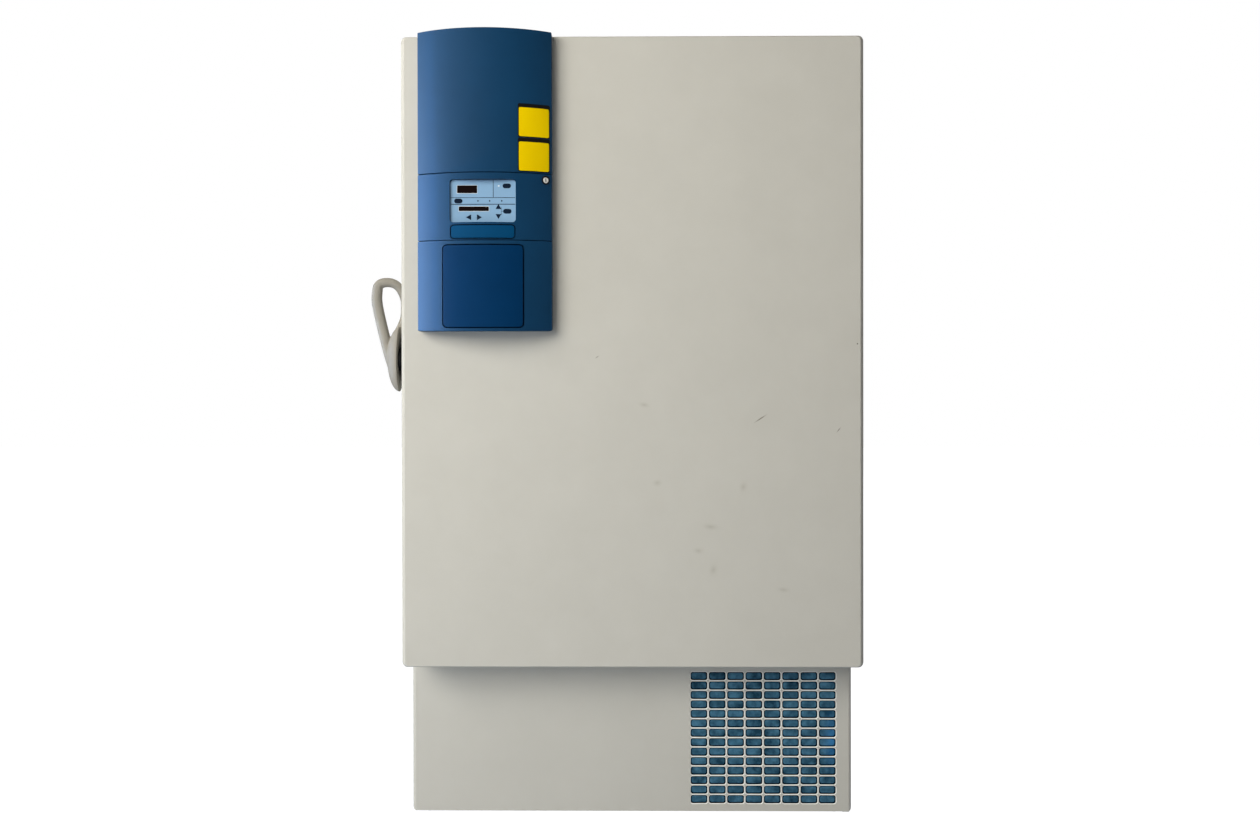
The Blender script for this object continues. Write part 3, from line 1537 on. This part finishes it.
@dataclass
class Studio:
    """Camera, soft light, floor and white backdrop."""

    camera_place: tuple[float, float, float] = (-0.00599, -2.80861, 1.29184)
    yaw: float = 0.00794
    pitch: float = -0.00412
    roll: float = 0.00144
    sensor_mm: float = 36.0
    focal_px: float = 982.07
    axis_px: tuple[float, float] = (-23.26, -97.34)
    width_px: int = 1260
    room_colour: str = "FFF4E2"
    room: tuple[float, float] = (0.28, 0.02)
    floor_size: float = 14.0
    floor_colour: str = "C4CFE2"
    floor_glow: float = 1.5
    floor_share: float = 0.7
    lamps: tuple[SoftBox, ...] = (
        SoftBox("key_left", (-2.3, -3.2, 2.7), (0.0, -0.4, 0.2), (2.8, 2.0), 140.0, "FFFCF4"),
        SoftBox("left_window", (-3.1, -1.0, 1.4), (0.0, -0.4, 1.3), (2.0, 2.6), 26.0, "E4EFFF"),
        SoftBox("front_fill", (-1.0, -5.2, 1.8), (0.0, -0.4, 1.2), (2.4, 2.0), 22.0, "FFF9EE"),
        SoftBox("back_fill", (2.6, 4.6, 2.8), (0.0, 0.3, 1.0), (2.6, 2.6), 110.0, "FFF9EE"),
    )
    window: SoftBox = SoftBox(
        "window_gleam", (-3.0, -0.8, 1.2), (0.0, -0.4, 1.3), (2.0, 2.4), 680.0, "AACDFF", gleam=True
    )

    def build(self) -> None:
        """Set the camera, the lights, the world and the floor."""
        self._camera()
        for lamp in self.lamps:
            lamp.add()
        self._world()
        self._floor()
        bpy.context.scene.view_settings.view_transform = "Standard"

    def gleam_on(self, *pieces: str) -> None:
        """Let the window gleam on these pieces alone.

        Args:
            pieces: Their names.
        """
        mirrored = bpy.data.collections.new("mirrored")
        for name in pieces:
            mirrored.objects.link(bpy.data.objects[name])
        self.window.add().light_linking.receiver_collection = mirrored

    def _camera(self) -> None:
        """Place the camera where the photograph was taken from, with its crop as a small shift."""
        data = bpy.data.cameras.new("camera")
        data.sensor_width = self.sensor_mm
        data.lens = self.focal_px / self.width_px * self.sensor_mm
        data.shift_x = -self.axis_px[0] / self.width_px
        data.shift_y = self.axis_px[1] / self.width_px
        turn = (
            Matrix.Rotation(self.yaw, 3, "Z")
            @ Matrix.Rotation(self.pitch, 3, "X")
            @ Matrix.Rotation(self.roll, 3, "Y")
        )
        right, ahead, up = turn.col[0], turn.col[1], turn.col[2]
        axes = Matrix((right, up, -ahead)).transposed()
        camera = bpy.data.objects.new("camera", data)
        camera.matrix_world = Matrix.Translation(self.camera_place) @ axes.to_4x4()
        bpy.context.scene.collection.objects.link(camera)
        bpy.context.scene.camera = camera

    def _world(self) -> None:
        """Make a white backdrop for the camera, mirrors and glass, and a room for other rays."""
        world = bpy.data.worlds.new("studio")
        bpy.context.scene.world = world
        world.use_nodes = True
        tree = world.node_tree
        tree.nodes.clear()
        rays = add_node(tree, "LightPath").outputs
        seen = rays["Is Camera Ray"]
        for kind in ("Is Glossy Ray", "Is Transmission Ray"):
            links = {0: seen, 1: rays[kind]}
            seen = add_node(tree, "Math", {"operation": "MAXIMUM"}, links).outputs["Value"]
        # The room is darker to the right, so the object's right edges fall off.
        ways = add_node(tree, "TexCoord").outputs["Generated"]
        across = add_node(tree, "SeparateXYZ", {}, {"Vector": ways}).outputs["X"]
        left, right = self.room
        fade = {"From Min": -1.0, "From Max": 1.0, "To Min": left, "To Max": right}
        room = add_node(tree, "MapRange", fade, {"Value": across}).outputs["Result"]
        warm = {"Color": linear(self.room_colour)}
        dim = add_node(tree, "Background", warm, {"Strength": room}).outputs[0]
        white = {"Color": linear("FFFFFF"), "Strength": 1.0}
        backdrop = add_node(tree, "Background", white).outputs[0]
        mix = add_node(tree, "MixShader", {}, {"Fac": seen, 1: dim, 2: backdrop})
        add_node(tree, "OutputWorld", {}, {"Surface": mix.outputs["Shader"]})

    def _floor(self) -> None:
        """Lay a pale floor, whose glow makes it plain white to the camera and hides its shadow."""
        bpy.ops.object.select_all(action="DESELECT")
        bpy.ops.mesh.primitive_plane_add(size=self.floor_size, location=(0, 0, 0))
        floor = bpy.context.object
        floor.name = "floor"
        made = bpy.data.materials.new("pale_floor")
        made.use_nodes = True
        tree = made.node_tree
        tree.nodes.clear()
        camera = add_node(tree, "LightPath").outputs["Is Camera Ray"]
        weaken = {"operation": "MULTIPLY", 1: self.floor_share}
        share = add_node(tree, "Math", weaken, {0: camera}).outputs["Value"]
        paint = add_node(tree, "BsdfDiffuse", {"Color": linear(self.floor_colour)}).outputs[0]
        white = {"Color": linear("FFFFFF"), "Strength": self.floor_glow}
        glow = add_node(tree, "Emission", white).outputs[0]
        mix = add_node(tree, "MixShader", {}, {"Fac": share, 1: paint, 2: glow})
        add_node(tree, "OutputMaterial", {}, {"Surface": mix.outputs["Shader"]})
        floor.data.materials.append(made)


def dress_cad() -> None:
    """Give every CAD node that stays its procedural finish."""
    for finish, nodes in CAD_FINISHES.items():
        for name in nodes:
            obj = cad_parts[name]
            obj.data.materials.clear()
            obj.data.materials.append(finish.material())
            LOG.info("%s: %s", name, finish.name)


def main() -> None:
    """Build each sub-assembly in order."""
    logging.basicConfig(level=logging.INFO, format="%(name)s %(message)s")
    studio = Studio()
    studio.build()
    dress_cad()
    for assembly in (
        CabinetShell,
        DoorShell,
        DoorSeal,
        Fascia,
        LatchHandle,
        GrilleDoor,
        InnerDoors,
        Hinges,
        Machine,
        Fasteners,
    ):
        assembly().build()
    bezels = ("fascia_top", "fascia_controls", "fascia_recorder")
    studio.gleam_on(*bezels, "bay_cover", "nameplate", "loop_handle")


if __name__ == "__main__":
    main()
